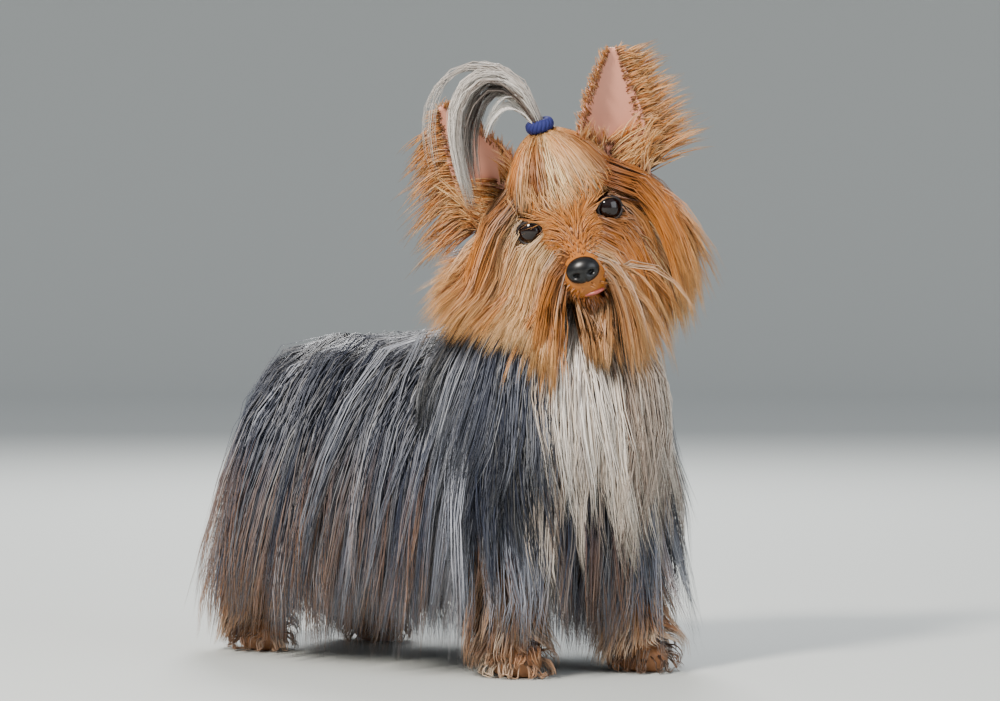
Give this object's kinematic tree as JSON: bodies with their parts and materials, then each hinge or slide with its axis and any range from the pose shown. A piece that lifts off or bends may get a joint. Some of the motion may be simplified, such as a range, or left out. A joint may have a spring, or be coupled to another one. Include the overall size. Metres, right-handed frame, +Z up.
{
  "type": "yorkshire terrier",
  "caption": "Life-size standing yorkshire terrier in full blue and tan coat, head turned and tilted, forelock tied up in a band",
  "frame": {"origin": "centre of the bounding box on the ground plane, under the standing dog", "axes": "+X from the rump towards the chest, +Y to the dog's left, +Z up; the soles stand on Z = 0"},
  "size_m": [0.3734, 0.211, 0.3759],
  "materials": {
    "fur_blue": "satin",
    "fur_tan": "satin",
    "fur_cream": "satin",
    "nose_leather": "satin",
    "eye_brown": "gloss",
    "band_navy": "matte"
  },
  "bodies": {
    "root": {"torso": "fur_blue", "neck": "fur_cream", "head": "fur_tan", "nose": "nose_leather", "eye_left": "eye_brown", "eye_right": "eye_brown", "ear_left": "fur_tan", "ear_right": "fur_tan", "topknot": "fur_cream", "hair_band": "band_navy", "foreleg_left": "fur_tan", "foreleg_right": "fur_tan", "hindleg_left": "fur_tan", "hindleg_right": "fur_tan", "tail": "fur_blue"}
  },
  "joints": []
}
